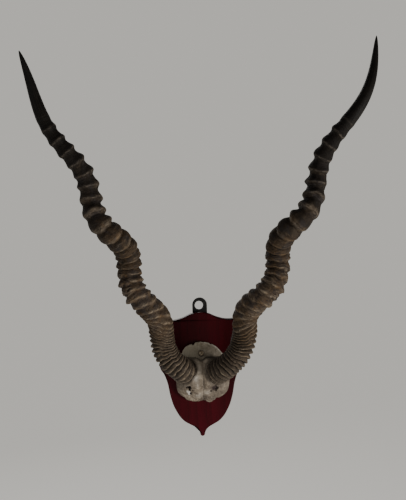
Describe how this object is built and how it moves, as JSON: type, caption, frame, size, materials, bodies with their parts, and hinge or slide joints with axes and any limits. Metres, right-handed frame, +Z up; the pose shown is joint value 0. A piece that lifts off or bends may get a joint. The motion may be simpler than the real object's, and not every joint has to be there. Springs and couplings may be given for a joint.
{
  "type": "blackbuck horn trophy",
  "caption": "Pair of long, spiral, ringed blackbuck horns on a cap of skull bone, mounted on a dark red wooden shield that hangs on a wall.",
  "frame": {"origin": "middle of the shield's flat back, on the wall's surface", "axes": "+Z up, -Y out of the wall towards the viewer, +X to the viewer's right"},
  "size_m": [0.4594, 0.2257, 0.5687],
  "materials": {
    "stained_wood": "dark red stain under a satin varnish",
    "blackened_steel": "blackened, satin",
    "aged_screw": "dull, with light rust",
    "bone": "dry matt bone, greyed and stained with age",
    "horn": "dry ringed horn, brown at the base and nearly black at the smooth tip"
  },
  "bodies": {
    "root": {"plaque": "stained_wood", "hanger": "blackened_steel", "hanger_screw_upper": "aged_screw", "hanger_screw_lower": "aged_screw", "skull_cap": "bone", "horn_left": "horn", "horn_right": "horn", "crown_screw": "aged_screw"}
  },
  "joints": []
}
